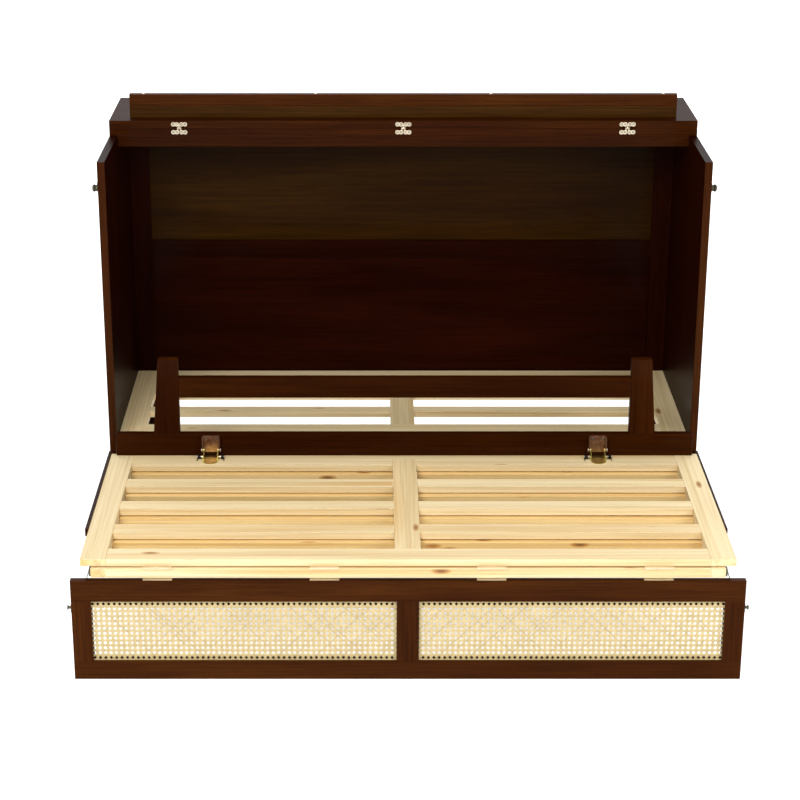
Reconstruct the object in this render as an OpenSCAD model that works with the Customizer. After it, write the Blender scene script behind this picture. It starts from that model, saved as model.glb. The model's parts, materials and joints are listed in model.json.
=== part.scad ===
// Fold-out cabinet bed, shown half open: lid flipped back, drop deck lowered onto its cane leg panel,
// foot deck folded upside down on the drop deck with its leg frame standing up.
// Millimetres, +Z up, Y = 0 on the cabinet sides' front edges before the final shift to the floor centre.

/* [Cabinet] */
// Outer width over the cabinet sides
cabinet_w = 1638; // [1200:1:2000]
// Depth of the cabinet sides
cabinet_d = 594; // [520:1:760]
// Height of the cabinet sides
side_h = 1091; // [1080:1:1400]
// Thickness of sides, top, lid and apron boards
board_t = 21; // [16:0.5:28]
// Height of the apron below the fixed top
apron_h = 31; // [20:1:60]
// Distance of the lid's hinge line from the front edges
lid_line = 297; // [260:1:340]
// Thickness of the back frame
back_t = 18; // [12:1:24]
// Width of the back frame's stiles and rails
back_rail_w = 56; // [40:1:80]
// Height of the back's middle rail above the floor
mid_rail_z = 656; // [500:1:760]
// Height of the lid batten
batten_h = 66; // [40:1:90]
// Distance of the batten's ends from the cabinet's outer faces
batten_inset = 55; // [20:1:200]
// Distance of the batten behind the hinge line
batten_back = 38; // [20:1:80]

/* [Decks] */
// Height of the head deck's top face
head_z = 296; // [280:1:320]
// Front edge of the head deck behind the cabinet's front edges
head_front = 62; // [45:1:90]
// Gap between the drop deck's sides and the cabinet's inner faces
deck_gap = 29.5; // [12:0.5:60]
// How much shorter than the cabinet sides the drop deck is
deck_short = 267; // [265:1:330]
// Thickness of the drop deck and head deck frames
deck_t = 25; // [20:1:30]
// Thickness of the slats and of the foot deck
slat_t = 19; // [14:1:22]
// Gap between the foot deck's sides and the cabinet's inner faces
foot_gap = 4; // [3:0.5:30]
// Length of the foot deck
foot_l = 674; // [560:1:700]
// Width of a slat of the drop deck and foot deck
slat_w = 50; // [36:1:60]
// Width of a slat of the head deck
head_slat_w = 38; // [30:1:50]

/* [Fronts] */
// Height of the cane leg panel
panel_h = 267; // [250:1:268]
// Thickness of the cane leg panel
panel_t = 17; // [15:1:20]
// Thickness of the door frame under the drop deck
door_t = 20; // [16:1:20]
// Width of the cane panel's end stiles
panel_stile_w = 48; // [36:1:70]
// Width of the cane panel's centre stile
centre_stile_w = 54; // [40:1:80]
// Height of the cane panel's bottom rail
bottom_rail_h = 48; // [40:1:60]
// Height of the cane panel's top rail
top_rail_h = 56; // [40:1:64]

/* [Leg frame] */
// Distance of each leg's outer edge from the end of its rail
leg_inset = 103; // [40:1:200]
// Leg width at the rail
leg_w = 71; // [50:1:80]
// Leg width at the foot
foot_end_w = 54; // [36:1:60]
// Height of the end rail
leg_rail_h = 63; // [50:1:80]

/* [Hidden] */
$fn = 48;

// Clearance between pieces that move past each other, and in a hinge bore
gap = 0.3;
bore_gap = 0.05;
// Colours
walnut = [0.30, 0.16, 0.07];
pine = [0.88, 0.76, 0.55];
cane_tone = [0.87, 0.78, 0.58];
nickel = [0.78, 0.76, 0.72];
zinc = [0.74, 0.62, 0.36];
black = [0.08, 0.08, 0.08];

half_w = cabinet_w / 2;
// Outer lid hinge, from the cabinet side
lid_hinge_inset = 195;
// Outer deck hinges, from the cabinet side
deck_hinge_inset = 212;
// Folding brackets, from the cabinet side
bracket_inset = 297;
inner_x = half_w - board_t;
batten_w = cabinet_w - 2 * batten_inset;
deck_w = 2 * (inner_x - deck_gap);
deck_l = side_h - deck_short;
foot_w = 2 * (inner_x - foot_gap);
top_z = side_h + board_t;
back_y = cabinet_d - 4 - back_t;

// Lid hinge axis, and the flipped lid
lid_axis = [0, lid_line, top_z + 1.5 * gap];
edge_off = 1.6;
lid_edge_y = lid_line + edge_off;
lid_z = top_z + 2 * gap;
lid_d = lid_line - edge_off - 2;
lid_knuckle_r = 3.2;
lid_hinge_w = 42;
lid_hinge_xs = [lid_hinge_inset - half_w, 0, half_w - lid_hinge_inset];

// Drop deck and its door hinge at the cabinet's front-bottom edge
door_axis = [0, -10, 263];
deck_rear = -12;
deck_front = deck_rear - deck_l;
deck_under = door_axis[2] + 9.5;
deck_z = deck_under + deck_t;
door_rear = door_axis[1] - 8;
hinge_x = half_w - deck_hinge_inset;
hinge_xs = [-hinge_x, -hinge_x / 3, hinge_x / 3, hinge_x];
door_hinge_w = 80;
door_knuckle_r = 5;

// Foot deck, folded back on the drop deck
leaf_t = 1.3;
foot_axis = [0, deck_front - 3.4, deck_z + 1.5];
foot_z0 = deck_z + 3;
foot_z1 = foot_z0 + slat_t;
foot_front = deck_front + 6;
foot_back = foot_front + foot_l;
small_hinge_w = 71;
foot_knuckle_r = 3;

// Leg panel
panel_back = deck_front + 11;
panel_front = panel_back - panel_t;
panel_axis = [0, panel_back + 2.6, panel_h + 2.9];
panel_knuckle_r = 2.2;
door_front = panel_axis[1] + panel_axis[2] + 2.5;
open_x0 = centre_stile_w / 2;
open_x1 = half_w - panel_stile_w;
open_z0 = bottom_rail_h;
open_z1 = panel_h - top_rail_h;
rabbet = 8;
cane_t = 1.2;
cane_y = panel_back - rabbet;
stud_z = panel_h - 75;
stud_y = (panel_front + panel_back) / 2;

// Leg frame on the foot deck's free edge
rail_front = foot_back - 14;
rail_back = rail_front + board_t;
rail_z0 = foot_z1 + gap;
rail_z1 = rail_z0 + leg_rail_h;
arm_gap = 9;
axis_up = 20;
leg_axis = [0, rail_front - arm_gap, foot_z1 + axis_up];
rail_half_w = foot_w / 2 - 15;
leg_half_gap = rail_half_w - leg_inset - leg_w;
// The feet reach the floor, less a little, once the foot deck is unfolded
leg_top_z = 2 * foot_axis[2] - 2;
bracket_x = half_w - bracket_inset;
bracket_xs = [-bracket_x, bracket_x];
bracket_w = 48;
plate_t = 2.5;

// Side hooks: the stud's place once the panel is folded and the deck is up
stud_turn = [stud_y - panel_axis[1], stud_z - panel_axis[2]];
stud_folded = [panel_axis[1] - stud_turn[1], panel_axis[2] + stud_turn[0]];
stud_up = [door_axis[1] + stud_folded[1] - door_axis[2], door_axis[2] - stud_folded[0] + door_axis[1]];
hook_axis = [25, stud_up[1] + 16.5];
hook_reach = norm([stud_up[0] - hook_axis[0], stud_up[1] - hook_axis[1]]);
hook_angle = atan2(stud_up[1] - hook_axis[1], stud_up[0] - hook_axis[0]);

// Slat places: evenly between two frame rails
function slat_starts(low, high, width, count) =
    [for (i = [1:count]) low + i * (high - low - count * width) / (count + 1) + (i - 1) * width];

module placed() { translate([0, -(panel_front + cabinet_d) / 2, 0]) children(); }
module both() { children(); mirror([1, 0, 0]) children(); }
// A board between two corners
module board(low, high) { translate(low) cube(high - low); }
// A round bar along X from x0 to x1 on the axis point
module bar_x(x0, x1, r) { translate([x0, 0, 0]) rotate([0, 90, 0]) cylinder(r = r, h = x1 - x0); }

// One leaf with its knuckles; the hinge axis is X, the plate spans plate_y by plate_z
module leaf(width, spans, knuckle_r, bore_r, plate_y, plate_z, tab_y, tab_z) {
    difference() {
        union() {
            board([-width / 2, plate_y[0], plate_z[0]], [width / 2, plate_y[1], plate_z[1]]);
            for (s = spans) {
                bar_x(s[0], s[1], knuckle_r);
                board([s[0], tab_y[0], tab_z[0]], [s[1], tab_y[1], tab_z[1]]);
            }
        }
        for (s = spans) bar_x(s[0] - 0.01, s[1] + 0.01, bore_r);
    }
}
function outer_spans(width) = [[-width / 2, -width / 6 - gap / 2], [width / 6 + gap / 2, width / 2]];
function inner_spans(width) = [[-width / 6 + gap / 2, width / 6 - gap / 2]];
module screw_head(r) { rotate_extrude() polygon([[0, 0], [r, 0], [0.8 * r, 1.4], [0.3 * r, 2], [0, 2]]); }
module at_axis(xs, axis) { for (x = xs) translate([x, axis[1], axis[2]]) children(); }
module pins(xs, axis, width, r) { at_axis(xs, axis) bar_x(-width / 2, width / 2, r); }

// ---- cabinet ----
module side_left() {
    color(walnut) placed() board([-half_w, 0, 0], [-inner_x, cabinet_d, side_h]);
}
module side_right() {
    color(walnut) placed() board([inner_x, 0, 0], [half_w, cabinet_d, side_h]);
}
module back_stiles() {
    color(walnut) placed() both()
        board([inner_x - back_rail_w, back_y, 0], [inner_x, back_y + back_t, side_h]);
}
stile_x = inner_x - back_rail_w;
top_rail_z = side_h - 60;
mid_top_z = mid_rail_z + 52;
cleat_w = 22;
cleat_z = [head_z - deck_t - 25, head_z - deck_t];
low_rail_z = [cleat_z[0], head_z + 2];
wall_hole_r = 3;
wall_hole_x = 406.4;
module back_rails() {
    color(walnut) placed() {
        difference() {
            board([-stile_x, back_y, top_rail_z], [stile_x, back_y + back_t, side_h]);
            for (s = [-1, 1]) translate([s * wall_hole_x, back_y - 1, side_h - 30])
                rotate([-90, 0, 0]) cylinder(r = wall_hole_r, h = back_t + 2);
        }
        board([-stile_x, back_y, mid_rail_z], [stile_x, back_y + back_t, mid_top_z]);
        board([-stile_x, back_y, low_rail_z[0]], [stile_x, back_y + back_t, low_rail_z[1]]);
    }
}
module back_panel_upper() {
    color(walnut) placed() board([-stile_x, back_y + 5, mid_top_z], [stile_x, back_y + back_t - 4, top_rail_z]);
}
module back_panel_lower() {
    color(walnut) placed()
        board([-stile_x, back_y + 5, low_rail_z[1]], [stile_x, back_y + back_t - 4, mid_rail_z]);
}
module lid_notches() {
    for (x = lid_hinge_xs) translate([x, lid_axis[1], lid_axis[2]])
        bar_x(-lid_hinge_w / 2 - 0.5, lid_hinge_w / 2 + 0.5, lid_knuckle_r + 0.5);
}
module fixed_top() {
    color(walnut) placed() difference() {
        board([-half_w, lid_edge_y, side_h], [half_w, cabinet_d, top_z]);
        lid_notches();
    }
}
module apron() {
    color(walnut) placed()
        board([-inner_x, lid_edge_y, side_h - apron_h], [inner_x, lid_edge_y + board_t, side_h]);
}
base_top = door_axis[2] - 2;
module base_front() {
    color(walnut) placed() board([-inner_x, 2, 0], [inner_x, 2 + board_t, base_top]);
}
module deck_cleats() {
    x = inner_x - cleat_w;
    color(pine) placed() {
        both() board([x, head_front, cleat_z[0]], [inner_x, back_y, cleat_z[1]]);
        board([-x + gap, back_y - cleat_w, cleat_z[0]], [x - gap, back_y, cleat_z[1]]);
    }
}
head_side_w = 68;
head_rail_w = 62.5;
head_centre_w = 68;
head_in = [head_front + head_rail_w, back_y - gap - head_rail_w];
module head_side_rails() {
    color(pine) placed() both()
        board([inner_x - gap - head_side_w, head_front, head_z - deck_t], [inner_x - gap, back_y - gap, head_z]);
}
module head_end_rails() {
    x = inner_x - gap - head_side_w;
    color(pine) placed() {
        board([-x, head_front, head_z - deck_t], [x, head_in[0], head_z]);
        board([-x, head_in[1], head_z - deck_t], [x, back_y - gap, head_z]);
    }
}
module head_centre_rail() {
    color(pine) placed()
        board([-head_centre_w / 2, head_in[0], head_z - deck_t], [head_centre_w / 2, head_in[1], head_z]);
}
module head_slats() {
    color(pine) placed() both() for (y = slat_starts(head_in[0], head_in[1], head_slat_w, 2))
        board([head_centre_w / 2, y, head_z - slat_t],
            [inner_x - gap - head_side_w, y + head_slat_w, head_z]);
}
module lid_hinge_bases() {
    color(nickel) placed() at_axis(lid_hinge_xs, lid_axis)
        leaf(lid_hinge_w, outer_spans(lid_hinge_w), lid_knuckle_r, 1.5, [0.1, edge_off], [-18, -3.6],
            [0.1, edge_off], [-3.7, 0]);
}
module lid_hinge_pins() { color(nickel) placed() pins(lid_hinge_xs, lid_axis, lid_hinge_w, 1.5); }
module door_hinge_bases() {
    color(zinc) placed() at_axis(hinge_xs, door_axis)
        leaf(door_hinge_w, outer_spans(door_hinge_w), door_knuckle_r, 2.5, [5.4, 32], [-2, 0.5],
            [0, 5.5], [-2, 0.5]);
}
module door_hinge_pins() { color(zinc) placed() pins(hinge_xs, door_axis, door_hinge_w, 2.5); }
module latch_plates() {
    color(nickel) placed() both() translate([half_w, hook_axis[0], hook_axis[1]]) {
        board([0, -13, -14], [2, 13, 14]);
        bar_x(0, 6, 4);
    }
}

// ---- lid, flipped back on the fixed top ----
module lid_board() {
    color(walnut) placed() difference() {
        board([-half_w, lid_edge_y, lid_z], [half_w, lid_edge_y + lid_d, lid_z + board_t]);
        lid_notches();
    }
}
batten_y = lid_line + batten_back;
batten_z = lid_z + board_t;
batten_groove = 2;
module lid_batten() {
    color(walnut) placed() difference() {
        board([-batten_w / 2, batten_y, batten_z], [batten_w / 2, batten_y + board_t, batten_z + batten_h]);
        translate([-batten_w / 2 - 1, batten_y, batten_z + batten_h / 2]) rotate([45, 0, 0])
            cube([batten_w + 2, batten_groove, batten_groove]);
    }
}
module batten_screws() {
    color(nickel) placed() both() for (x = [batten_w * 0.16, batten_w * 0.475])
        translate([x, batten_y + board_t / 2, batten_z + batten_h]) screw_head(4.5);
}
module lid_hinge_flaps() {
    color(nickel) placed() at_axis(lid_hinge_xs, lid_axis)
        leaf(lid_hinge_w, inner_spans(lid_hinge_w), lid_knuckle_r, 1.5 + bore_gap, [0.1, edge_off], [3.6, 18],
            [0.1, edge_off], [0, 3.7]);
}

// ---- drop deck with the door frame under it ----
deck_x = deck_w / 2;
deck_side_w = 36;
deck_in_x = deck_x - deck_side_w;
deck_rail_w = 60;
deck_centre_w = 64;
module deck_side_rails() {
    color(pine) placed() both() board([deck_in_x, deck_front, deck_under], [deck_x, deck_rear, deck_z]);
}
module deck_end_rails() {
    color(pine) placed() {
        board([-deck_in_x, deck_front, deck_under], [deck_in_x, deck_front + deck_rail_w, deck_z]);
        board([-deck_in_x, deck_rear - deck_rail_w, deck_under], [deck_in_x, deck_rear, deck_z]);
    }
}
module deck_centre_rail() {
    color(pine) placed() board([-deck_centre_w / 2, deck_front + deck_rail_w, deck_under],
        [deck_centre_w / 2, deck_rear - deck_rail_w, deck_z]);
}
// Each slat lies under the gap behind a slat of the foot deck
module deck_slats() {
    color(pine) placed() both() for (y = concat(foot_slat_starts, [foot_back - foot_back_w]))
        let (front = y - deck_slat_lead)
            board([deck_centre_w / 2, front, deck_z - slat_t], [deck_in_x, front + slat_w, deck_z]);
}
door_rail_w = 60;
module door_rails() {
    color(walnut) placed() {
        board([-half_w, door_rear - door_rail_w, deck_under - door_t], [half_w, door_rear, deck_under]);
        board([-half_w, door_front, deck_under - door_t], [half_w, door_front + door_rail_w, deck_under]);
    }
}
module door_stiles() {
    y0 = door_front + door_rail_w;
    y1 = door_rear - door_rail_w;
    color(walnut) placed() {
        both() board([half_w - door_rail_w, y0, deck_under - door_t], [half_w, y1, deck_under]);
        board([-centre_stile_w / 2, y0, deck_under - door_t], [centre_stile_w / 2, y1, deck_under]);
    }
}
module door_panels() {
    color(walnut) placed() both() board(
        [centre_stile_w / 2, door_front + door_rail_w, deck_under - door_t + 6],
        [half_w - door_rail_w, door_rear - door_rail_w, deck_under - 5]);
}
module door_hinge_flaps() {
    color(zinc) placed() at_axis(hinge_xs, door_axis)
        leaf(door_hinge_w, inner_spans(door_hinge_w), door_knuckle_r, 2.5 + bore_gap, [-8, -5.4], [-9, 9],
            [-5.5, 0], [-1.2, 1.2]);
}
// A flat strap along each side, with a stay at its front end that leans out over the panel's corner
strap_t = 5;
stay_t = 2;
stay_lean = 10;
module side_straps() {
    color(nickel) placed() both() {
        board([deck_x, deck_front + 4, deck_under + 2], [deck_x + strap_t, deck_rear - 8, deck_under + 20]);
        translate([deck_x, deck_front + 18, 0]) rotate([90, 0, 0]) linear_extrude(16) polygon([
            [0, deck_z], [stay_t, deck_z], [stay_t + stay_lean, panel_h + 1.5], [stay_lean, panel_h + 1.5]]);
    }
}
module foot_hinge_bases() {
    color(nickel) placed() at_axis(hinge_xs, foot_axis)
        leaf(small_hinge_w, outer_spans(small_hinge_w), foot_knuckle_r, 1.5, [3.4, 27], [-1.5, -0.2],
            [0, 3.5], [-1.5, -0.2]);
}
module foot_hinge_pins() { color(nickel) placed() pins(hinge_xs, foot_axis, small_hinge_w, 1.5); }
module panel_hinge_bases() {
    color(nickel) placed() at_axis(hinge_xs, panel_axis)
        leaf(small_hinge_w, outer_spans(small_hinge_w), panel_knuckle_r, 1.1,
            [-13, -2.5], [panel_lift - leaf_t, panel_lift], [-2.6, 0], [panel_lift - leaf_t, panel_lift]);
}
panel_lift = deck_under - panel_axis[2];
module panel_hinge_pins() { color(nickel) placed() pins(hinge_xs, panel_axis, small_hinge_w, 1.1); }

// ---- foot deck, upside down on the drop deck ----
foot_x = foot_w / 2;
foot_side_w = 62;
foot_in_x = foot_x - foot_side_w;
foot_back_w = 79;
foot_front_w = 61;
foot_centre_w = 64;
foot_lap = 40;
foot_slat_starts = slat_starts(foot_front + foot_front_w, foot_back - foot_back_w, slat_w, 3);
deck_slat_lead = 14.5;
module foot_side_rails() {
    color(pine) placed() both() board([foot_in_x, foot_front, foot_z0], [foot_x, foot_back, foot_z1]);
}
module foot_lap_block(extra) {
    board([-foot_centre_w / 2, foot_back - foot_back_w - extra, foot_z1 - slat_t / 2],
        [foot_centre_w / 2, foot_back - foot_back_w + foot_lap, foot_z1 + extra]);
}
module foot_end_rails() {
    color(pine) placed() {
        board([-foot_in_x, foot_front, foot_z0], [foot_in_x, foot_front + foot_front_w, foot_z1]);
        difference() {
            board([-foot_in_x, foot_back - foot_back_w, foot_z0], [foot_in_x, foot_back, foot_z1]);
            foot_lap_block(1);
        }
    }
}
module foot_centre_rail() {
    color(pine) placed() {
        board([-foot_centre_w / 2, foot_front + foot_front_w, foot_z0],
            [foot_centre_w / 2, foot_back - foot_back_w, foot_z1]);
        foot_lap_block(0);
    }
}
module foot_slats() {
    color(pine) placed() both() for (y = foot_slat_starts)
        board([foot_centre_w / 2, y, foot_z0], [foot_in_x, y + slat_w, foot_z1]);
}
module foot_hinge_flaps() {
    color(nickel) placed() at_axis(hinge_xs, foot_axis)
        leaf(small_hinge_w, inner_spans(small_hinge_w), foot_knuckle_r, 1.5 + bore_gap, [3.4, 27], [0.2, 1.5],
            [0, 3.5], [0.2, 1.5]);
}

// ---- folding brackets between the foot deck and the leg frame ----
pin_r = 3;
shoe_w = bracket_w - 2 * plate_t - 3;
shoe_x = shoe_w / 2 - plate_t;
shoe_end = 32;
shoe_r = 6;
arm_x = bracket_w / 2 - plate_t;
arm_top = leg_rail_h - 24;
arm_r = 7;
// Coil springs lie on the deck on both sides of each bracket
spindle_r = 2.5;
coil_r = 6;
wire_r = 1.25;
coil_x = [bracket_w / 2 + 2.6, bracket_w / 2 + 13];
spring_y = -15;
spring_z = coil_r + 0.5 - axis_up;
module bracket_plates() {
    color(zinc) placed() at_axis(bracket_xs, leg_axis) difference() {
        union() {
            board([-shoe_w / 2, -shoe_end, -axis_up], [shoe_w / 2, shoe_r, plate_t - axis_up]);
            translate([0, -shoe_end, -axis_up]) cylinder(r = shoe_w / 2, h = plate_t);
            both() {
                translate([shoe_x, 0, 0]) rotate([90, 0, 90]) linear_extrude(plate_t) polygon([
                    [shoe_r, -axis_up], [-26, -axis_up], [-26, -6], [-shoe_r, 0], [shoe_r, 0]]);
                bar_x(shoe_x, shoe_x + plate_t, shoe_r);
            }
        }
        bar_x(-bracket_w, bracket_w, pin_r);
        translate([0, spring_y, spring_z]) bar_x(-bracket_w, bracket_w, spindle_r);
    }
}
// A rivet through each side of a bracket, and a stub that carries each spring
module bracket_pins() {
    color(nickel) placed() at_axis(bracket_xs, leg_axis) both() {
        bar_x(shoe_x, bracket_w / 2 + gap, pin_r);
        bar_x(bracket_w / 2 + gap, bracket_w / 2 + 2.3, pin_r + 2);
        translate([0, spring_y, spring_z]) bar_x(shoe_x, coil_x[1], spindle_r);
    }
}
module bracket_springs() {
    turns = 5;
    pitch = (coil_x[1] - coil_x[0] - 2 * wire_r) / (turns - 1);
    color(black) placed() at_axis(bracket_xs, leg_axis) both() translate([0, spring_y, spring_z]) {
        for (i = [0:turns - 1]) translate([coil_x[0] + wire_r + pitch * i, 0, 0]) rotate([0, 90, 0])
            rotate_extrude() translate([coil_r - wire_r, 0])
                square([2 * wire_r, 1.1 * pitch], center = true);
        translate([coil_x[1] - wire_r, 0, wire_r - coil_r]) rotate([90, 0, 0]) cylinder(r = wire_r, h = 16);
    }
}
module bracket_arms() {
    color(zinc) placed() at_axis(bracket_xs, leg_axis) difference() {
        union() {
            board([-bracket_w / 2, arm_gap - plate_t, -8], [bracket_w / 2, arm_gap, arm_top]);
            both() {
                board([arm_x, -6, 0], [arm_x + plate_t, arm_gap, arm_top]);
                bar_x(arm_x, arm_x + plate_t, arm_r);
            }
        }
        bar_x(-bracket_w, bracket_w, pin_r + bore_gap);
    }
}
module bracket_screws() {
    color(nickel) placed() at_axis(bracket_xs, leg_axis) both()
        translate([14, arm_gap - plate_t, arm_top - 9]) rotate([90, 0, 0]) screw_head(4);
}

// ---- leg frame ----
module leg_rail() {
    color(walnut) placed() board([-rail_half_w, rail_front, rail_z0], [rail_half_w, rail_back, rail_z1]);
}
module leg() {
    translate([0, rail_back, rail_z1]) rotate([90, 0, 0]) linear_extrude(board_t) polygon([
        [leg_half_gap, 0], [leg_half_gap + leg_w, 0],
        [leg_half_gap + foot_end_w, leg_top_z - rail_z1], [leg_half_gap, leg_top_z - rail_z1]]);
}
module leg_right() { color(walnut) placed() leg(); }
module leg_left() { color(walnut) placed() mirror([1, 0, 0]) leg(); }
stretcher_up = 104;
stretcher_h = 57;
module leg_stretcher() {
    color(walnut) placed() board([-leg_half_gap, rail_front, rail_z1 + stretcher_up],
        [leg_half_gap, rail_back, rail_z1 + stretcher_up + stretcher_h]);
}

// ---- cane leg panel ----
module cane_recess() {
    both() board([open_x0 - rabbet, panel_back - rabbet, open_z0 - rabbet],
        [open_x1 + rabbet, panel_back + 1, open_z1 + rabbet]);
}
module cane_rails() {
    color(walnut) placed() difference() {
        union() {
            board([-half_w, panel_front, 0], [half_w, panel_back, open_z0]);
            board([-half_w, panel_front, open_z1], [half_w, panel_back, panel_h]);
        }
        cane_recess();
    }
}
module cane_stiles() {
    color(walnut) placed() difference() {
        union() {
            both() board([open_x1, panel_front, open_z0], [half_w, panel_back, open_z1]);
            board([-open_x0, panel_front, open_z0], [open_x0, panel_back, open_z1]);
        }
        cane_recess();
    }
}
module cane_sheet() {
    board([open_x0 - rabbet, cane_y, open_z0 - rabbet],
        [open_x1 + rabbet, cane_y + cane_t, open_z1 + rabbet]);
}
module cane_right() { color(cane_tone) placed() cane_sheet(); }
module cane_left() { color(cane_tone) placed() mirror([1, 0, 0]) cane_sheet(); }
// The bead's top and bottom reach further in than the frame, behind the edge of the cane
bead_side = 2;
bead_low = 11;
bead_high = 21;
module cane_beads() {
    color(walnut) placed() both() difference() {
        board([open_x0 - rabbet, cane_y + cane_t, open_z0 - rabbet],
            [open_x1 + rabbet, panel_back, open_z1 + rabbet]);
        board([open_x0 + bead_side, cane_y, open_z0 + bead_low],
            [open_x1 - bead_side, panel_back + 1, open_z1 - bead_high]);
    }
}
module panel_hinge_flaps() {
    z0 = panel_h - panel_axis[2];
    color(nickel) placed() at_axis(hinge_xs, panel_axis)
        leaf(small_hinge_w, inner_spans(small_hinge_w), panel_knuckle_r, 1.1 + bore_gap,
            [-17, -2.6], [z0, z0 + leaf_t], [-2.7, 0], [z0, z0 + leaf_t]);
}
stud_r = 3.5;
module catch_studs() {
    color(nickel) placed() both() translate([half_w, stud_y, stud_z]) {
        board([0, -6.5, -11], [1.2, 6.5, 11]);
        bar_x(0, 10, stud_r);
        bar_x(7.5, 10, 6);
    }
}

// ---- side hooks, turned back while the bed is open ----
hook_t = 3;
hook_w = 12;
module hook() {
    translate([half_w + 3, hook_axis[0], hook_axis[1]]) rotate([hook_angle - 180, 0, 0]) {
        rotate([90, 0, 90]) linear_extrude(hook_t) difference() {
            union() {
                circle(r = 9);
                translate([0, -hook_w / 2]) square([hook_reach, hook_w]);
                translate([hook_reach, 0]) circle(r = 9);
            }
            circle(r = 4 + bore_gap);
            translate([hook_reach, 0]) circle(r = stud_r + 1);
            translate([hook_reach - stud_r - 1, 0]) square([2 * stud_r + 2, 20]);
        }
        rotate([0, 90, 0]) translate([0, 0, hook_t]) rotate_extrude() polygon([
            [4 + bore_gap, 0], [8, 0], [8, 2], [10, 5], [10, 8], [7, 11], [0, 11.5], [0, 1], [4 + bore_gap, 1]]);
    }
}
module hook_right() { color(nickel) placed() hook(); }
module hook_left() { color(nickel) placed() mirror([1, 0, 0]) hook(); }

side_left();
side_right();
back_stiles();
back_rails();
back_panel_upper();
back_panel_lower();
fixed_top();
apron();
base_front();
deck_cleats();
head_side_rails();
head_end_rails();
head_centre_rail();
head_slats();
lid_hinge_bases();
lid_hinge_pins();
door_hinge_bases();
door_hinge_pins();
latch_plates();
lid_board();
lid_batten();
batten_screws();
lid_hinge_flaps();
deck_side_rails();
deck_end_rails();
deck_centre_rail();
deck_slats();
door_rails();
door_stiles();
door_panels();
door_hinge_flaps();
side_straps();
foot_hinge_bases();
foot_hinge_pins();
panel_hinge_bases();
panel_hinge_pins();
foot_side_rails();
foot_end_rails();
foot_centre_rail();
foot_slats();
foot_hinge_flaps();
bracket_plates();
bracket_pins();
bracket_springs();
leg_rail();
leg_left();
leg_right();
leg_stretcher();
bracket_arms();
bracket_screws();
cane_rails();
cane_stiles();
cane_left();
cane_right();
cane_beads();
panel_hinge_flaps();
catch_studs();
hook_left();
hook_right();
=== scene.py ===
import json
import math
import bpy
import bmesh
import numpy as np
from mathutils import Matrix, Vector


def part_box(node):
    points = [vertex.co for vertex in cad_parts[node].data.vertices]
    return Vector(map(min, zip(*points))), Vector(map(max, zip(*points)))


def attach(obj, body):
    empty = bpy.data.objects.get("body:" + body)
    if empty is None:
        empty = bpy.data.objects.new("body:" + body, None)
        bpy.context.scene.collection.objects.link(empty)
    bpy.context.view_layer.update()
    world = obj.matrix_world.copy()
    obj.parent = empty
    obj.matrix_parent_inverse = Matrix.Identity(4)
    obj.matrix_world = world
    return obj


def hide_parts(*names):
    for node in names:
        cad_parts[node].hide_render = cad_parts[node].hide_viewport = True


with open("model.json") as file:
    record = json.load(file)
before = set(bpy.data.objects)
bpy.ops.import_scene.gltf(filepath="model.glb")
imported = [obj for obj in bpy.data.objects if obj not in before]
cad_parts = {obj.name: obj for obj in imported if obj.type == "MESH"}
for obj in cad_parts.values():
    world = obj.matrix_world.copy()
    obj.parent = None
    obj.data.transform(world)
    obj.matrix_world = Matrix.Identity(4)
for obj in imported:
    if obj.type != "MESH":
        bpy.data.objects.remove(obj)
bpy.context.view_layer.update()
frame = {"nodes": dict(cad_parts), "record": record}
NODES = frame["nodes"]
BODY = {n: b for b, members in frame["record"]["behaviour"]["bodies"].items() for n in members}
SLOT = {s["node"]: s["material_slot"] for s in frame["record"]["subparts"]}
MM = 0.001

# ---------------------------------------------------------------- camera, floor and light


def make_camera(place=(-0.0894, -5.3134, 2.4732), pitch=20.72, lens=94.5, shift=0.036):
    """A camera in front of the foot end that looks down by pitch degrees."""
    data = bpy.data.cameras.new("camera")
    data.sensor_width = 36.0
    data.lens = lens
    data.shift_x = shift
    data.clip_end = 60.0
    camera = bpy.data.objects.new("camera", data)
    bpy.context.scene.collection.objects.link(camera)
    camera.location = place
    camera.rotation_euler = (math.radians(90 - pitch), 0, 0)
    bpy.context.scene.camera = camera


def make_world(seen=1.0, cast=0.26):
    """The camera sees a white backdrop; the light that the backdrop gives is softer."""
    world = bpy.data.worlds.new("studio")
    bpy.context.scene.world = world
    world.use_nodes = True
    nodes, links = world.node_tree.nodes, world.node_tree.links
    nodes.clear()
    path = nodes.new("ShaderNodeLightPath")
    mix = nodes.new("ShaderNodeMix")
    mix.inputs["A"].default_value = cast
    mix.inputs["B"].default_value = seen
    links.new(path.outputs["Is Camera Ray"], mix.inputs["Factor"])
    background = nodes.new("ShaderNodeBackground")
    background.inputs["Color"].default_value = (1, 1, 1, 1)
    links.new(mix.outputs["Result"], background.inputs["Strength"])
    out = nodes.new("ShaderNodeOutputWorld")
    links.new(background.outputs["Background"], out.inputs["Surface"])


def make_floor(half=30.0, tone=0.88, glow=0.58):
    """A plain pale floor that glows a little, so that it stays white without strong light from above."""
    mesh = bpy.data.meshes.new("floor")
    corners = [(-half, -half, 0), (half, -half, 0), (half, half, 0), (-half, half, 0)]
    mesh.from_pydata(corners, [], [(0, 1, 2, 3)])
    floor = bpy.data.objects.new("floor", mesh)
    bpy.context.scene.collection.objects.link(floor)
    material = bpy.data.materials.new("pale_floor")
    material.use_nodes = True
    bsdf = material.node_tree.nodes["Principled BSDF"]
    bsdf.inputs["Base Color"].default_value = (tone, tone, tone, 1)
    bsdf.inputs["Roughness"].default_value = 0.95
    bsdf.inputs["Specular IOR Level"].default_value = 0.0
    bsdf.inputs["Emission Color"].default_value = (1, 1, 1, 1)
    bsdf.inputs["Emission Strength"].default_value = glow
    mesh.materials.append(material)


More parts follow.
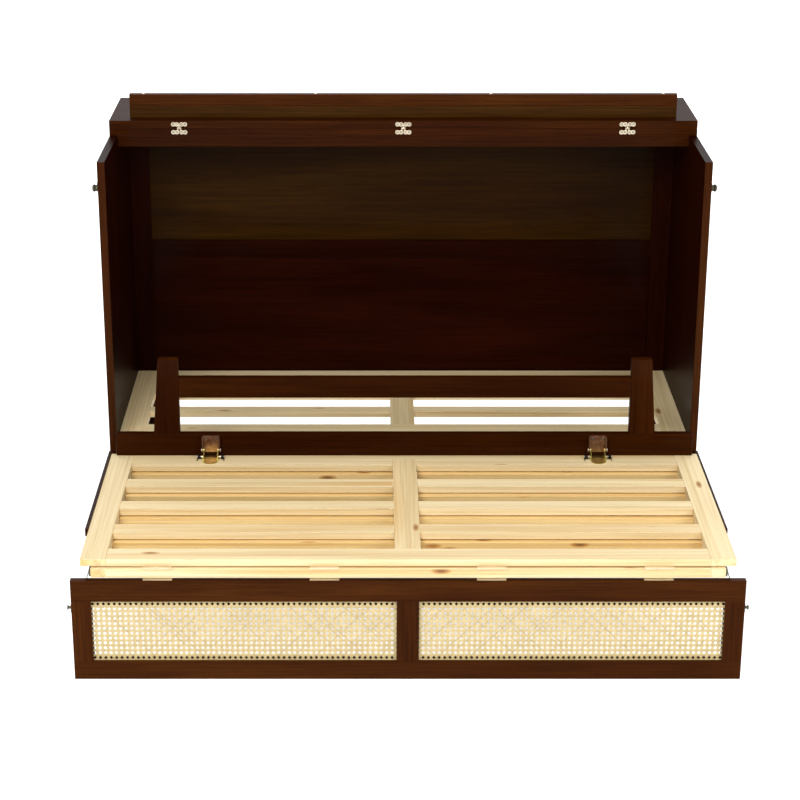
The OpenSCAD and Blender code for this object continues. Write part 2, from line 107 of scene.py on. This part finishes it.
def make_light(name, place, target, size, power, tint=(1.0, 0.97, 0.93)):
    """A soft rectangular lamp at a place, turned to its target."""
    data = bpy.data.lights.new(name, "AREA")
    data.shape = "RECTANGLE"
    data.size, data.size_y = size
    data.energy = power
    data.color = tint
    lamp = bpy.data.objects.new(name, data)
    bpy.context.scene.collection.objects.link(lamp)
    lamp.location = place
    lamp.rotation_euler = (Vector(target) - Vector(place)).to_track_quat("-Z", "Y").to_euler()


make_camera()
make_world()
make_floor()
make_light("key", (-1.6, -4.2, 3.6), (0, -0.2, 0.5), (2.6, 1.8), 190)
make_light("fill", (2.6, -3.2, 2.2), (0, 0, 0.6), (1.8, 1.8), 60)
make_light("top", (0, 0.3, 4.0), (0, 0, 0.6), (3.0, 2.0), 24)
make_light("far_floor", (0, 11.0, 6.0), (0, 9.5, 0), (20.0, 9.0), 1500, (1, 1, 1))
make_light("near_floor", (0, 0.0, 7.0), (0, 0, 0), (10.0, 8.0), 130, (1, 1, 1))
bpy.context.scene.view_settings.view_transform = "Standard"

# ---------------------------------------------------------------- materials


class Shader:
    """A material with short calls for its nodes."""

    def __init__(self, name):
        self.material = bpy.data.materials.new(name)
        self.material.use_nodes = True
        self.nodes = self.material.node_tree.nodes
        self.links = self.material.node_tree.links
        self.bsdf = self.nodes["Principled BSDF"]

    def set(self, **values):
        for socket, value in values.items():
            self.bsdf.inputs[socket.replace("_", " ")].default_value = value

    def link(self, source, target):
        self.links.new(source, target)

    def add(self, kind, **settings):
        node = self.nodes.new(kind)
        for key, value in settings.items():
            setattr(node, key, value)
        return node

    def place(self):
        """Object coordinates, moved by a different amount on each separate board."""
        coordinates = self.add("ShaderNodeTexCoord")
        island = self.add("ShaderNodeNewGeometry")
        spread = self.add("ShaderNodeVectorMath", operation="MULTIPLY")
        spread.inputs[1].default_value = (3.7, 5.3, 2.9)
        self.link(island.outputs["Random Per Island"], spread.inputs[0])
        total = self.add("ShaderNodeVectorMath", operation="ADD")
        self.link(coordinates.outputs["Object"], total.inputs[0])
        self.link(spread.outputs["Vector"], total.inputs[1])
        self.island = island.outputs["Random Per Island"]
        return total.outputs["Vector"]

    def stretched(self, place, axis, along, across):
        """The coordinates scaled so that a texture runs in fibres along an axis."""
        mapping = self.add("ShaderNodeMapping")
        mapping.inputs["Scale"].default_value = [along if i == axis else across for i in range(3)]
        self.link(place, mapping.inputs["Vector"])
        return mapping.outputs["Vector"]

    def noise(self, vector, scale=1.0, detail=4.0, roughness=0.5, distortion=0.0):
        node = self.add("ShaderNodeTexNoise")
        self.link(vector, node.inputs["Vector"])
        node.inputs["Scale"].default_value = scale
        node.inputs["Detail"].default_value = detail
        node.inputs["Roughness"].default_value = roughness
        node.inputs["Distortion"].default_value = distortion
        return node.outputs["Fac"]

    def ramp(self, value, stops):
        node = self.add("ShaderNodeValToRGB")
        elements = node.color_ramp.elements
        while len(elements) < len(stops):
            elements.new(0.5)
        for element, (position, colour) in zip(elements, stops):
            element.position = position
            element.color = (*colour, 1) if len(colour) == 3 else colour
        self.link(value, node.inputs["Fac"])
        return node.outputs["Color"]

    def blend(self, factor, a, b, mode="MIX"):
        node = self.add("ShaderNodeMix", data_type="RGBA", blend_type=mode)
        for socket, value in (("Factor", factor), ("A", a), ("B", b)):
            target = [s for s in node.inputs if s.name == socket and s.enabled][0]
            if isinstance(value, (int, float, tuple)):
                target.default_value = value if not isinstance(value, tuple) else (*value, 1)
            else:
                self.link(value, target)
        return [s for s in node.outputs if s.enabled][0]

    def scale_to(self, value, low, high):
        node = self.add("ShaderNodeMapRange")
        self.link(value, node.inputs["Value"])
        node.inputs["To Min"].default_value = low
        node.inputs["To Max"].default_value = high
        return node.outputs["Result"]

    def bump(self, height, distance, strength=1.0):
        node = self.add("ShaderNodeBump")
        node.inputs["Strength"].default_value = strength
        node.inputs["Distance"].default_value = distance
        self.link(height, node.inputs["Height"])
        self.link(node.outputs["Normal"], self.bsdf.inputs["Normal"])


def walnut(axis, shade, tone, tint=(1.0, 1.0, 1.0)):
    """Dark stained wood under semi-gloss lacquer, its grain along an axis."""
    s = Shader("walnut_" + shade + "_" + "xyz"[axis])
    place = s.place()
    figure = s.noise(s.stretched(place, axis, 1.1, 9.0), detail=5, distortion=0.6)
    fibre = s.noise(s.stretched(place, axis, 4.0, 190.0), detail=5, roughness=0.6)
    pores = s.noise(s.stretched(place, axis, 16.0, 620.0), detail=2)
    base = s.ramp(figure, [(stop, tuple(tone * c * t for c, t in zip(colour, tint))) for stop, colour in (
        (0.30, (0.052, 0.0120, 0.0012)), (0.52, (0.072, 0.0190, 0.0022)), (0.74, (0.098, 0.0290, 0.0042)))])
    streak = s.ramp(fibre, [(0.34, (0.62, 0.58, 0.55)), (0.60, (1.0, 1.0, 1.0))])
    toned = s.blend(1.0, base, streak, "MULTIPLY")
    board = s.ramp(s.island, [(0.0, (0.86, 0.84, 0.82)), (1.0, (1.12, 1.10, 1.06))])
    toned = s.blend(1.0, toned, board, "MULTIPLY")
    pore = s.ramp(pores, [(0.30, (0.55, 0.5, 0.5)), (0.42, (1, 1, 1))])
    s.link(s.blend(0.8, toned, pore, "MULTIPLY"), s.bsdf.inputs["Base Color"])
    s.link(s.scale_to(fibre, 0.30, 0.46), s.bsdf.inputs["Roughness"])
    s.set(Specular_IOR_Level=0.02, Coat_Weight=0.02, Coat_Roughness=0.10)
    s.bump(fibre, 0.00012, 0.5)
    return s.material


def pine(axis, name="pine", tint=(1.0, 1.0, 1.0)):
    """Pale planed pine with fine growth lines, a few amber streaks and rare knots."""
    s = Shader(name + "_" + "xyz"[axis])
    place = s.place()
    rings = s.noise(s.stretched(place, axis, 0.55, 34.0), detail=3, distortion=0.35)
    fine = s.noise(s.stretched(place, axis, 3.0, 260.0), detail=4, roughness=0.62)
    broad = s.noise(s.stretched(place, axis, 0.5, 7.0), detail=2)
    base = s.ramp(rings, [(0.30, (0.70, 0.53, 0.28)), (0.45, (0.80, 0.655, 0.39)),
                          (0.60, (0.86, 0.73, 0.475)), (0.75, (0.78, 0.625, 0.36))])
    line = s.ramp(fine, [(0.32, (0.80, 0.72, 0.60)), (0.58, (1.0, 1.0, 1.0))])
    toned = s.blend(0.75, base, line, "MULTIPLY")
    amber = s.ramp(broad, [(0.60, (1, 1, 1)), (0.72, (0.90, 0.74, 0.52))])
    toned = s.blend(1.0, toned, amber, "MULTIPLY")
    board = s.ramp(s.island, [(stop, tuple(c * t for c, t in zip(colour, tint))) for stop, colour in (
        (0.0, (0.93, 0.92, 0.88)), (0.5, (1.02, 1.0, 0.97)), (1.0, (1.06, 1.06, 1.04)))])
    toned = s.blend(1.0, toned, board, "MULTIPLY")
    knots = s.add("ShaderNodeTexVoronoi", feature="F1")
    knots.inputs["Scale"].default_value = 1.0
    s.link(s.stretched(place, axis, 4.2, 13.0), knots.inputs["Vector"])
    knot = s.ramp(knots.outputs["Distance"], [(0.035, (0.20, 0.085, 0.03)), (0.075, (0.62, 0.40, 0.2)),
                                              (0.12, (1, 1, 1))])
    s.link(s.blend(0.85, toned, knot, "MULTIPLY"), s.bsdf.inputs["Base Color"])
    s.link(s.scale_to(fine, 0.52, 0.68), s.bsdf.inputs["Roughness"])
    s.set(Specular_IOR_Level=0.35)
    s.bump(fine, 0.00015, 0.6)
    return s.material


def cane_straw():
    s = Shader("cane_straw")
    place = s.place()
    tone = s.noise(place, scale=90.0, detail=3)
    speck = s.noise(place, scale=900.0, detail=2)
    base = s.ramp(tone, [(0.3, (0.48, 0.38, 0.18)), (0.55, (0.57, 0.47, 0.25)), (0.8, (0.63, 0.53, 0.31))])
    board = s.ramp(s.island, [(0.0, (0.80, 0.74, 0.64)), (0.4, (0.98, 0.95, 0.90)), (1.0, (1.08, 1.05, 1.0))])
    s.link(s.blend(1.0, base, board, "MULTIPLY"), s.bsdf.inputs["Base Color"])
    s.link(s.scale_to(speck, 0.34, 0.52), s.bsdf.inputs["Roughness"])
    s.set(Specular_IOR_Level=0.5)
    s.bump(speck, 0.0001, 0.4)
    return s.material


def metal(name, bright, dark, low, high, scratch=500.0, metallic=1.0):
    """Plated steel with a faint brushed and clouded finish."""
    s = Shader(name)
    place = s.place()
    cloud = s.noise(place, scale=60.0, detail=4)
    brushed = s.noise(s.stretched(place, 0, scratch * 0.1, scratch), detail=3)
    base = s.ramp(cloud, [(0.3, dark), (0.65, bright)])
    s.link(base, s.bsdf.inputs["Base Color"])
    s.link(s.scale_to(brushed, low, high), s.bsdf.inputs["Roughness"])
    s.set(Metallic=metallic)
    s.bump(brushed, 0.00005, 0.3)
    return s.material


# One walnut stain in three copies: the lightest is painted light for the lit cane frames and lid batten, the
# middle one is the plain tone, and the darkest, reddened one is painted shade for the cabinet's inside,
# sides, base front and cane beads.
WALNUT = {shade: [walnut(i, shade, tone, tint) for i in range(3)]
          for shade, tone, tint in (("light", 0.76, (1.0, 1.04, 1.1)), ("middle", 0.48, (1.0, 0.88, 0.7)),
                                    ("painted_shade", 0.24, (1.0, 0.5, 0.5)))}
# A brighter, greener and bluer walnut copy: a painted reflection, used on the lower half of the lid batten's
# front.
PAINTED_REFLECTION = walnut(0, "painted_reflection", 0.85, (0.85, 1.25, 1.5))
# A dark, greenish walnut copy: painted shade with a painted reflection, used on the upper back panel.
PAINTED_SHADE_REFLECTION = walnut(0, "painted_shade_reflection", 0.42, (1.0, 1.35, 0.5))
PINE = [pine(i) for i in range(3)]
# Deck slats: darker, more amber pine, partly the amber streaks of the wood and partly painted warm shade,
# since they are seen only in shadow through the slots.
AMBER_SHADE_PINE = pine(0, "amber_and_shade_pine", (0.96, 0.84, 0.62))
CANE = cane_straw()
NICKEL = metal("nickel_plate", (0.84, 0.75, 0.58), (0.56, 0.47, 0.34), 0.30, 0.48)
CREAM = metal("satin_plate", (0.76, 0.63, 0.40), (0.66, 0.53, 0.32), 0.35, 0.50, metallic=0.2)
DARK = metal("dark_steel", (0.11, 0.10, 0.07), (0.035, 0.03, 0.02), 0.28, 0.45)
STEEL = metal("dull_steel", (0.30, 0.27, 0.22), (0.12, 0.10, 0.08), 0.30, 0.50)
ZINC = metal("yellow_zinc", (0.56, 0.52, 0.15), (0.40, 0.33, 0.12), 0.26, 0.46)
RED_ZINC = metal("red_zinc", (0.42, 0.25, 0.18), (0.22, 0.09, 0.06), 0.26, 0.46)
BLACK = metal("black_spring", (0.05, 0.05, 0.05), (0.02, 0.02, 0.02), 0.30, 0.5)

# ---------------------------------------------------------------- meshes


def keep(obj, material, body, slot, *replaced):
    """Gives a new piece its material and body and hides the CAD nodes that it stands for; its slot argument
    is not used.
    """
    obj.data.materials.clear()
    obj.data.materials.append(material)
    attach(obj, body)
    if replaced:
        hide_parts(*replaced)
    return obj


def new_object(name, mesh):
    obj = bpy.data.objects.new(name, mesh)
    bpy.context.scene.collection.objects.link(obj)
    return obj


SHARP = math.radians(35)
FLAT = math.radians(1)


def eased(node, name, material, edge, segments=2, other=None, chosen=None):
    """A copy of a CAD node with its arrises eased, which stands for the node.

    Faces that chosen() picks take the other material.
    """
    bm = bmesh.new()
    bm.from_mesh(NODES[node].data)
    bmesh.ops.remove_doubles(bm, verts=bm.verts, dist=1e-6)
    bmesh.ops.dissolve_limit(bm, angle_limit=FLAT, verts=bm.verts, edges=bm.edges)
    sharp = [e for e in bm.edges if len(e.link_faces) == 2 and e.calc_face_angle() > SHARP]
    bmesh.ops.bevel(bm, geom=sharp, offset=edge, segments=segments, profile=0.6, affect="EDGES",
                    clamp_overlap=True)
    mesh = bpy.data.meshes.new(name)
    bm.to_mesh(mesh)
    bm.free()
    obj = keep(new_object(name, mesh), material, BODY[node], SLOT[node], node)
    if other:
        mesh.materials.append(other)
        for face in mesh.polygons:
            face.material_index = int(chosen(face))
    return obj


def tube(points, radius, sides=8):
    """Vertices and faces of a closed round bar through points."""
    points = [Vector(p) for p in points]
    verts, faces = [], []
    side = None
    for i, p in enumerate(points):
        ahead = (points[min(i + 1, len(points) - 1)] - points[max(i - 1, 0)]).normalized()
        if side is None:
            side = ahead.orthogonal().normalized()
        side = (side - ahead * side.dot(ahead)).normalized()
        up = ahead.cross(side)
        for k in range(sides):
            a = 2 * math.pi * k / sides
            verts.append(p + (side * math.cos(a) + up * math.sin(a)) * radius)
    for i in range(len(points) - 1):
        for k in range(sides):
            n = (k + 1) % sides
            faces.append((i * sides + k, i * sides + n, (i + 1) * sides + n, (i + 1) * sides + k))
    last = (len(points) - 1) * sides
    faces.append(tuple(range(sides))[::-1])
    faces.append(tuple(range(last, last + sides)))
    return verts, faces


def joined(parts, name, smooth=False):
    """One mesh object from several (vertices, faces) lists."""
    verts, faces = [], []
    for v, f in parts:
        start = len(verts)
        verts += [tuple(p) for p in v]
        faces += [tuple(i + start for i in face) for face in f]
    mesh = bpy.data.meshes.new(name)
    mesh.from_pydata(verts, [], faces)
    mesh.validate()
    if smooth:
        mesh.shade_smooth()
        mesh.set_sharp_from_angle(angle=math.radians(50))
    return new_object(name, mesh)


def lathe(profile, place, turn, steps=24):
    """A turned solid: profile of (radius, height), then a rotation matrix and a place."""
    verts, faces = [], []
    for r, h in profile:
        for k in range(steps):
            a = 2 * math.pi * k / steps
            verts.append(turn @ Vector((r * math.cos(a), r * math.sin(a), h)) + Vector(place))
    for i in range(len(profile) - 1):
        for k in range(steps):
            n = (k + 1) % steps
            faces.append((i * steps + k, i * steps + n, (i + 1) * steps + n, (i + 1) * steps + k))
    last = (len(profile) - 1) * steps
    faces.append(tuple(range(steps))[::-1])
    faces.append(tuple(range(last, last + steps)))
    return verts, faces


# ---------------------------------------------------------------- boards

GRAIN = {
    0: ["fixed_top", "apron", "base_front", "back_rails", "back_panel_upper", "back_panel_lower", "lid_board",
        "lid_batten", "door_rails", "door_panels", "leg_rail", "leg_stretcher", "cane_rails", "cane_beads",
        "deck_cleats", "head_end_rails", "head_slats", "deck_end_rails", "deck_slats", "foot_end_rails",
        "foot_slats"],
    1: ["door_stiles", "head_side_rails", "head_centre_rail", "deck_side_rails", "deck_centre_rail",
        "foot_side_rails", "foot_centre_rail"],
    2: ["side_left", "side_right", "back_stiles", "leg_left", "leg_right", "cane_stiles"],
}
BOARD_EDGE = 1.3 * MM
FLUSH_EDGE = 0.5 * MM
FLUSH_JOINTS = ("cane_rails", "cane_stiles", "door_rails", "door_stiles", "cane_beads")
# Nodes that take the lightest walnut copy, which is painted light.
PAINTED_LIT_NODES = ("cane_rails", "cane_stiles", "lid_batten")
# Nodes that take the darkest walnut copy, which is painted shade.
PAINTED_SHADE_NODES = ("side_left", "side_right", "back_stiles", "back_rails", "back_panel_upper", "back_panel_lower",
        "base_front", "cane_beads")


def wood_for(node, axis):
    if SLOT[node] == "pine":
        # Deck slats take the darker amber pine: partly real amber streaks, partly painted warm shade.
        return AMBER_SHADE_PINE if node == "deck_slats" else PINE[axis]
    # The upper back panel takes the dark, greenish copy: painted shade with a painted reflection.
    if node == "back_panel_upper":
        return PAINTED_SHADE_REFLECTION
    return WALNUT["light" if node in PAINTED_LIT_NODES else "painted_shade" if node in PAINTED_SHADE_NODES else "middle"][axis]


for axis, members in GRAIN.items():
    for node in members:
        other, chosen = None, None
        # The sides' front-facing faces take the lightest walnut copy: a painted highlight along their front
        # edges.
        if node in ("side_left", "side_right"):
            other, chosen = WALNUT["light"][2], lambda face: face.normal.y < -0.5
        # The lower half of the batten's front face takes the greener, bluer walnut copy: a painted
        # reflection.
        if node == "lid_batten":
            low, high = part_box(node)
            middle = (low.z + high.z) / 2
            other, chosen = PAINTED_REFLECTION, lambda face: face.normal.y < -0.5 and face.center.z < middle
        edge = FLUSH_EDGE if node in FLUSH_JOINTS else BOARD_EDGE
        eased(node, node + "_board", wood_for(node, axis), edge, other=other, chosen=chosen)

# ---------------------------------------------------------------- cane webbing

PITCH = 13.27 * MM
BORDER = 8.0 * MM
PAIR = 1.30 * MM
STRAND_HALF = 1.2 * MM
DIAGONAL_HALF = 1.35 * MM
CROWN = 0.28 * MM
WAVE = 0.22 * MM
OUTWARD = 4.0 * MM
DOWNWARD = 1.6 * MM


def ribbon(points, half, crown):
    """A crowned strip of split cane through points of (x, depth, z)."""
    verts, faces = [], []
    for i, p in enumerate(points):
        a, b = points[max(i - 1, 0)], points[min(i + 1, len(points) - 1)]
        dx, dz = b[0] - a[0], b[2] - a[2]
        length = math.hypot(dx, dz)
        nx, nz = -dz / length * half, dx / length * half
        verts += [(p[0] + nx, p[1], p[2] + nz), (p[0], p[1] - crown, p[2]),
                  (p[0] - nx, p[1], p[2] - nz), (p[0], p[1] + crown, p[2])]
    for i in range(len(points) - 1):
        for k in range(4):
            n = (k + 1) % 4
            faces.append((i * 4 + k, i * 4 + n, (i + 1) * 4 + n, (i + 1) * 4 + k))
    last = (len(points) - 1) * 4
    faces += [(3, 2, 1, 0), (last, last + 1, last + 2, last + 3)]
    return verts, faces


def weave(node, name):
    """Octagonal cane: paired strands both ways and single strands on both diagonals."""
    low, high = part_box(node)
    margin = 1.0 * MM
    x0, x1, z0, z1 = low.x + margin, high.x - margin, low.z + margin, high.z - margin
    middle = (low.y + high.y) / 2
    columns = round((high.x - low.x - 2 * BORDER) / PITCH)
    rows = round((high.z - low.z - 2 * BORDER) / PITCH)
    left = (x0 + x1 - columns * PITCH) / 2 + math.copysign(OUTWARD, low.x)
    foot = (z0 + z1 - rows * PITCH) / 2 - DOWNWARD
    parts = []
    for i in range(columns + 1):
        for side in (-1, 1):
            x = left + i * PITCH + side * PAIR
            steps = 2 * rows + 2
            parts.append(ribbon([(x, middle + WAVE * (1 if (k + i) % 2 else -0.2), z0 + (z1 - z0) * k / steps)
                                 for k in range(steps + 1)], STRAND_HALF, CROWN))
    for j in range(rows + 1):
        for side in (-1, 1):
            z = foot + j * PITCH + side * PAIR
            steps = 2 * columns + 2
            parts.append(ribbon([(x0 + (x1 - x0) * k / steps, middle - WAVE * (1 if (k + j) % 2 else -0.2), z)
                                 for k in range(steps + 1)], STRAND_HALF, CROWN))
    for slope in (-1, 1):
        for i in range(-rows - 2, columns + rows + 2):
            start = left + (i + 0.5) * PITCH
            points = []
            steps = 2 * rows + 2
            for k in range(steps + 1):
                z = z0 + (z1 - z0) * k / steps
                x = start + slope * (z - foot)
                if x0 <= x <= x1:
                    points.append((x, middle - 2.1 * WAVE + slope * 0.5 * WAVE * (1 if k % 2 else -1), z))
            if len(points) > 2:
                parts.append(ribbon(points, DIAGONAL_HALF, CROWN))
    keep(joined(parts, name, smooth=True), CANE, BODY[node], SLOT[node], node)


weave("cane_left", "cane_weave_left")
weave("cane_right", "cane_weave_right")

# ---------------------------------------------------------------- lid hinges

FACING_FRONT = Matrix.Rotation(math.radians(90), 3, "X")
LOBE = 6.0 * MM
LOBES = (-16.4 * MM, -6.6 * MM, 6.6 * MM, 16.4 * MM)
LEAF_UP = 11.2 * MM
LEAF_T = 1.3 * MM
LEAF_BACK = 1.55 * MM
HINGE_W = 42 * MM
KNUCKLE_R = 3.1 * MM
PIN_R = 1.4 * MM
PIN_L = 12 * MM
LID_SCREW_R = 3.6 * MM


def lobed_plate(x, y, z, up, thick=LEAF_T):
    """A bow-tie hinge leaf facing the front, its screw lobes along X and its knuckle side at z."""
    middle = z + up * LEAF_UP
    end = LOBES[-1]
    xs = np.linspace(-end - LOBE, end + LOBE, 81)
    verts, faces = [], []
    for depth in (y - thick, y):
        for dx in xs:
            reach = max([math.sqrt(max(LOBE ** 2 - (dx - c) ** 2, 0)) for c in LOBES] + [0.3 * MM])
            verts += [(x + dx, depth, middle - reach), (x + dx, depth, middle + reach)]
    n = len(xs)
    for i in range(n - 1):
        a, b = 2 * i, 2 * n + 2 * i
        faces += [(a, a + 2, a + 3, a + 1), (b + 1, b + 3, b + 2, b),
                  (a + 1, a + 3, b + 3, b + 1), (a + 2, a, b, b + 2)]
    faces += [(0, 1, 2 * n + 1, 2 * n), (2 * n - 1, 2 * n - 2, 4 * n - 2, 4 * n - 1)]
    return verts, faces


def screw(place, turn, r=2.6 * MM):
    """A countersunk screw head with a dished drive."""
    profile = [(0.2 * r, -0.3 * MM), (r, -0.3 * MM), (r, 0.0), (0.86 * r, 0.12 * MM),
               (0.50 * r, 0.18 * MM), (0.34 * r, -0.15 * MM), (0.02 * r, -0.2 * MM)]
    return lathe(profile, place, turn, 20)


def lid_hinges():
    """Three bow-tie hinges, each with two leaves, knuckles, a short pin and eight screws."""
    low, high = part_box("lid_hinge_bases")
    places = (low.x + HINGE_W / 2, 0.0, high.x - HINGE_W / 2)
    line_low, line_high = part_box("lid_hinge_pins")
    axis_y, axis_z = (line_low.y + line_high.y) / 2, (line_low.z + line_high.z) / 2
    face_y = axis_y + LEAF_BACK
    along = Matrix.Rotation(math.radians(90), 3, "Y")
    pin = [(0.2 * MM, 0), (PIN_R, 0), (PIN_R, PIN_L), (0.2 * MM, PIN_L)]
    pins = [lathe(pin, (x - PIN_L / 2, axis_y, axis_z), along, 16) for x in places]
    keep(joined(pins, "lid_hinge_short_pins", smooth=True), NICKEL, "cabinet", "nickel", "lid_hinge_pins")
    for node, up, spans in (("lid_hinge_bases", -1, ((-5.5, -1.9), (1.9, 5.5))),
                            ("lid_hinge_flaps", 1, ((-1.7, 1.7),))):
        parts, screws = [], []
        for x in places:
            parts.append(lobed_plate(x, face_y, axis_z, up))
            for a, b in spans:
                r = KNUCKLE_R
                shape = [(0.3 * r, 0), (0.9 * r, 0), (r, 0.3 * MM), (r, (b - a) * MM - 0.3 * MM),
                         (0.9 * r, (b - a) * MM), (0.3 * r, (b - a) * MM)]
                parts.append(lathe(shape, (x + a * MM, axis_y, axis_z), along, 20))
                neck = [(x + s * MM, d, axis_z + up * h * MM) for d in (axis_y + 0.1 * MM, face_y)
                        for s, h in ((a, 1.0), (b, 1.0), (b, 8.0), (a, 8.0))]
                parts.append((neck, [(0, 1, 2, 3), (7, 6, 5, 4), (0, 4, 5, 1), (1, 5, 6, 2), (2, 6, 7, 3),
                                     (3, 7, 4, 0)]))
            for c in LOBES:
                spot = (x + c, face_y - LEAF_T, axis_z + up * LEAF_UP)
                screws.append(screw(spot, FACING_FRONT, LID_SCREW_R))
        keep(joined(parts, node + "_bow_tie", smooth=True), NICKEL, BODY[node], "nickel", node)
        keep(joined(screws, node + "_screws", smooth=True), STEEL, BODY[node], "nickel")


lid_hinges()

# ---------------------------------------------------------------- bracket springs and small metal


def springs():
    """Coiled wire beside each bracket, with a straight leg that runs out over the deck."""
    low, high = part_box("bracket_springs")
    arm_low, arm_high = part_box("bracket_arms")
    outer, wire, turns, half_bracket, gap = 6.0 * MM, 1.1 * MM, 4, 24 * MM, 2.6 * MM
    coil = outer - wire
    axis_y, axis_z = high.y - outer, high.z - outer
    reach = arm_low.x - low.x
    parts = []
    for centre, side in ((arm_low.x + half_bracket, -1), (arm_low.x + half_bracket, 1),
                         (arm_high.x - half_bracket, -1), (arm_high.x - half_bracket, 1)):
        end = centre + side * (half_bracket + reach - wire)
        run = reach - gap - 2 * wire
        steps = turns * 20
        points = [(end, low.y + wire, axis_z - coil), (end, axis_y - 3 * MM, axis_z - coil)]
        for k in range(steps + 1):
            a = 2 * math.pi * turns * k / steps - math.pi / 2
            points.append((end - side * run * k / steps,
                           axis_y + coil * math.cos(a), axis_z + coil * math.sin(a)))
        parts.append(tube(points, wire, 8))
    keep(joined(parts, "bracket_coils", smooth=True), BLACK, "foot_deck", "spring_steel", "bracket_springs")


springs()

for node, material, edge in (
        ("bracket_plates", ZINC, 0.5), ("bracket_arms", RED_ZINC, 0.5), ("door_hinge_bases", ZINC, 0.3),
        ("door_hinge_flaps", ZINC, 0.3), ("latch_plates", DARK, 0.4), ("side_straps", DARK, 0.5),
        ("foot_hinge_bases", CREAM, 0.2), ("foot_hinge_flaps", CREAM, 0.2), ("panel_hinge_bases", CREAM, 0.2),
        ("panel_hinge_flaps", CREAM, 0.2), ("catch_studs", DARK, 0.3), ("hook_left", DARK, 0.3),
        ("hook_right", DARK, 0.3)):
    eased(node, node + "_metal", material, edge * MM)
for node, material in (("door_hinge_pins", ZINC), ("foot_hinge_pins", NICKEL), ("panel_hinge_pins", NICKEL),
                       ("bracket_pins", NICKEL), ("batten_screws", NICKEL), ("bracket_screws", STEEL)):
    obj = NODES[node]
    obj.data.materials.clear()
    obj.data.materials.append(material)
